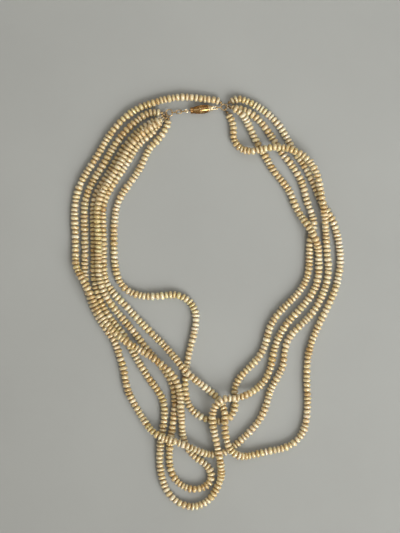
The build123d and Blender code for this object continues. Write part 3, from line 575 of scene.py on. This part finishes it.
def share_out(start, end, length, rng):
    """Bead lengths of uneven size that fill the stretch, as (middle, length) pairs."""
    count = int((end - start) / length + 1e-6)
    if count < 1:
        return []
    parts = rng.uniform(*LENGTH_RANGE, count)
    parts *= (end - start) / parts.sum()
    edges = start + np.concatenate([[0.0], np.cumsum(parts)])
    return [((edges[i] + edges[i + 1]) / 2, parts[i]) for i in range(count)]


def drift(count, spread, memory, rng):
    """Random values about zero, each near the one before it."""
    values = np.zeros(count)
    for index in range(1, count):
        values[index] = memory * values[index - 1] + rng.normal(0, spread * math.sqrt(1 - memory ** 2))
    return values


def make_pearls(name, path, ends, shapes, gap_shade_mask, faces, material, rng):
    """All the pearls of one piece of a strand, as one mesh of separate beads."""
    bare, small = ends
    beads = [(*bead, END_PEARL_RADIUS) for bead in share_out(bare, bare + small, END_PEARL_LENGTH, rng)]
    beads += [(*bead, PEARL_RADIUS) for bead in share_out(bare + small, path.length, PEARL_LENGTH, rng)]
    count = len(beads)
    lean_x, lean_y = (drift(count, LEAN_SPREAD, LEAN_MEMORY, rng) for _ in range(2))
    tones = TONE_MEAN + drift(count, TONE_SPREAD, TONE_MEMORY, rng) + rng.normal(0, TONE_NOISE, count)
    tints = TINT_MEAN + drift(count, TINT_SPREAD, TINT_MEMORY, rng) + rng.normal(0, TINT_NOISE, count)
    all_verts, all_faces = [], []
    for index, (middle, length, radius) in enumerate(beads):
        shape = shapes[rng.integers(len(shapes))]
        size = np.array([radius * rng.uniform(*RADIUS_RANGE)] * 2 + [HALF_LENGTH * length])
        lean = Matrix.Rotation(lean_x[index], 3, "X") @ Matrix.Rotation(lean_y[index], 3, "Y")
        spin = Matrix.Rotation(rng.uniform(0, 2 * math.pi), 3, "Z")
        turn = np.array(path.frame_at(middle) @ lean @ spin)
        bead = (shape * size) @ turn.T + path.at(middle)
        bead[:, 2] += max(0.0, -bead[:, 2].min())  # it rests on the table
        all_verts.append(bead)
        all_faces.append(faces + index * len(shape))
    piece = link_mesh(
        name, np.concatenate(all_verts).tolist(), np.concatenate(all_faces).tolist(), material
    )
    each = len(shapes[0])
    for attribute, values in (
        ("tone", np.repeat(np.clip(tones, 0, 1), each)),
        ("tint", np.repeat(np.clip(tints, 0, 1), each)),
        ("gap_shade_mask", np.tile(gap_shade_mask, count)),
    ):
        layer = piece.data.attributes.new(attribute, "FLOAT", "POINT")
        layer.data.foreach_set("value", values.astype(np.float32))
    return piece


def make_strands(materials):
    """Each strand's two pieces: a thread and its pearls, in place of the CAD's."""
    rng = np.random.default_rng(SEED)
    shapes, gap_shade_mask = make_pearl_shapes(rng)
    faces = pearl_faces()
    for strand in ROUTES:
        for side in ("left", "right"):
            name = f"{strand}_{side}"
            points = strand_points(strand, side)
            path = Path(points)
            tube = as_mesh(smooth_curve("tube", points, THREAD_RADIUS))
            tube.materials.append(materials["silk"])
            thread = bpy.data.objects.new(f"{strand}_silk_{side}", tube)
            bpy.context.scene.collection.objects.link(thread)
            pearls = make_pearls(
                f"{strand}_beads_{side}", path, RING_ENDS[name], shapes, gap_shade_mask, faces, materials["pearl"], rng
            )
            for piece, slot, replaced in (
                (thread, "silk", f"{strand}_thread_{side}"), (pearls, "pearl", f"{strand}_pearls_{side}")
            ):
                if name in BENDS:
                    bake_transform(piece)
                else:
                    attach(piece, "left_arm" if side == "left" else "root")
                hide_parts(replaced)


# ------------------------------------------------------------------ metal
def finish_metal(materials):
    """Gives each CAD node that is seen as it is its material."""
    for name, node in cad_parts.items():
        if "thread" in name or "pearls" in name:
            continue
        if "knots" in name:
            material = materials["silk"]
        # Painted highlight: the end band, the end loop and the tongue's eye get a paler, lit copy of the gold.
        elif name in ("clasp_end_band", "clasp_end_loop", "tongue_eye"):
            material = materials["painted_highlight_gold"]
        elif "link" in name or "ring" in name or "tips" in name:
            material = materials["wire_gold"]
        else:
            material = materials["gold"]
        node.data.materials.clear()
        node.data.materials.append(material)


def barrel_radii(count=60):
    """The barrel's outer radius against the place along its axis, measured on the two CAD shells."""
    places, radii = [], []
    for name in ("clasp_upper_shell", "clasp_lower_shell"):
        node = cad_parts[name]
        for vertex in node.data.vertices:
            spot = node.matrix_world @ vertex.co - CLASP_MIDDLE
            place = spot.dot(CLASP_ALONG)
            places.append(place)
            radii.append((spot - CLASP_ALONG * place).length)
    places, radii = np.array(places), np.array(radii)
    edges = np.linspace(places.min(), places.max(), count + 1)
    middles, widest = [], []
    for start, end in zip(edges[:-1], edges[1:]):
        inside = (places >= start) & (places <= end)
        if inside.any():
            middles.append((start + end) / 2)
            widest.append(radii[inside].max())
    return np.array(middles), np.array(widest)


def on_clasp(place, radius, turn):
    """A point of the clasp: along the axis, out from it and round it."""
    outward = CLASP_ACROSS * math.cos(turn) + Vector((0, 0, math.sin(turn)))
    return CLASP_MIDDLE + CLASP_ALONG * place + outward * radius


def tube_round(centres, radius, sides):
    """Vertices and faces of a closed round tube through the points."""
    count = len(centres)
    verts, faces = [], []
    for index, centre in enumerate(centres):
        tangent = (centres[(index + 1) % count] - centres[index - 1]).normalized()
        outward = centre - CLASP_MIDDLE
        outward = (outward - CLASP_ALONG * outward.dot(CLASP_ALONG)).normalized()
        outward = (outward - tangent * outward.dot(tangent)).normalized()
        other = tangent.cross(outward)
        for side in range(sides):
            turn = 2 * math.pi * side / sides
            verts.append(centre + (outward * math.cos(turn) + other * math.sin(turn)) * radius)
    for index in range(count):
        after = (index + 1) % count
        for side in range(sides):
            beside = (side + 1) % sides
            faces.append((
                index * sides + side, after * sides + side, after * sides + beside, index * sides + beside,
            ))
    return verts, faces


def make_rope(name, place, ring_radius, wire, twists, material, strands=2, steps=220, sides=8):
    """A ring of wires twisted together round the barrel; wire is one wire's radius."""
    all_verts, all_faces = [], []
    for strand in range(strands):
        centres = []
        for step in range(steps):
            turn = 2 * math.pi * step / steps
            twist = twists * turn + 2 * math.pi * strand / strands
            centres.append(
                on_clasp(place + wire * math.sin(twist), ring_radius + wire * math.cos(twist), turn)
            )
        verts, faces = tube_round(centres, wire, sides)
        shift = len(all_verts)
        all_verts += verts
        all_faces += [tuple(corner + shift for corner in face) for face in faces]
    return link_mesh(name, all_verts, all_faces, material)


def make_grains(name, place, ring_radius, grain, count, material):
    """A row of tiny round grains round the barrel; grain is one grain's radius."""
    ball = bmesh.new()
    bmesh.ops.create_icosphere(ball, subdivisions=2, radius=grain)
    ball_verts = [vertex.co.copy() for vertex in ball.verts]
    ball_faces = [tuple(vertex.index for vertex in face.verts) for face in ball.faces]
    ball.free()
    verts, faces = [], []
    for index in range(count):
        centre = on_clasp(place, ring_radius, 2 * math.pi * index / count)
        faces += [tuple(corner + len(verts) for corner in face) for face in ball_faces]
        verts += [centre + vert for vert in ball_verts]
    return link_mesh(name, verts, faces, material)


def make_collar(name, start, end, radii, proud, material, sides=72, rows=9):
    """A polished sleeve that follows the barrel between two places, with rolled edges.

    It stands proud of the barrel outside and sinks as deep into it inside.
    """
    verts, faces = [], []
    section = []
    for row in range(rows):
        share = row / (rows - 1)
        place = start + (end - start) * share
        crown = proud * math.sin(math.pi * min(max(share, 0.04), 0.96)) ** 0.35
        section.append((place, float(np.interp(place, *radii)) + crown))
    section += [(place, float(np.interp(place, *radii)) - proud) for place in (end, start)]
    for place, radius in section:
        verts += [on_clasp(place, radius, 2 * math.pi * side / sides) for side in range(sides)]
    for row in range(len(section)):
        below = (row + 1) % len(section)
        for side in range(sides):
            beside = (side + 1) % sides
            faces.append((
                row * sides + side, row * sides + beside, below * sides + beside, below * sides + side,
            ))
    return link_mesh(name, verts, faces, material)


def make_clasp_trim(materials):
    """The fine work on the barrel: a sleeve at the end, twisted wires and rows of grains."""
    radii = barrel_radii()

    def surface(place, lift=0.0):
        """A place along the axis with the barrel's radius there, raised by the lift."""
        return place, float(np.interp(place, *radii)) + lift

    # Painted highlight: the sleeve and the waist and sleeve wires are in the paler, lit copy of the gold.
    gold, bright = materials["gold"], materials["painted_highlight_gold"]
    pieces = [
        make_collar("clasp_sleeve", start=0.00250, end=0.00352, radii=radii, proud=0.00006, material=bright),
        make_rope("clasp_waist_wire", *surface(-0.00105, 0.00002), wire=0.000035, twists=44, material=bright),
        make_rope("clasp_sleeve_wire", *surface(0.00243, 0.00003), wire=0.00004, twists=36, material=bright),
        make_rope("clasp_mouth_wire", *surface(-0.00440, 0.00003), wire=0.00004, twists=30, material=gold),
        make_grains("clasp_waist_grains", *surface(-0.00080), grain=0.00006, count=70, material=gold),
        make_grains("clasp_mouth_grains", *surface(-0.00415, 0.00002), grain=0.00007, count=48, material=gold),
    ]
    for piece in pieces:
        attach(piece, "clasp_barrel")


make_camera()
make_lights()
materials = {
    "pearl": make_pearl_material(),
    "silk": make_silk_material(),
    # Painted dark reflection: the plain gold's colour is dark, and its darker patches are partly wear and
    # partly painted reflection.
    "gold": make_gold_material(
        "gold", colour=(0.62, 0.38, 0.15), wear_and_dark_reflection=(0.30, 0.16, 0.06), roughness=0.16
    ),
    "wire_gold": make_gold_material(
        "wire_gold", colour=(0.58, 0.42, 0.21), wear_and_dark_reflection=(0.25, 0.16, 0.07), roughness=0.22
    ),
    # Painted highlight: a paler, lit copy of the gold.
    "painted_highlight_gold": make_gold_material(
        "painted_highlight_gold", colour=(0.98, 0.86, 0.62), wear_and_dark_reflection=(0.85, 0.66, 0.36), roughness=0.10
    ),
}
make_floor(make_floor_material())
make_strands(materials)
finish_metal(materials)
make_clasp_trim(materials)
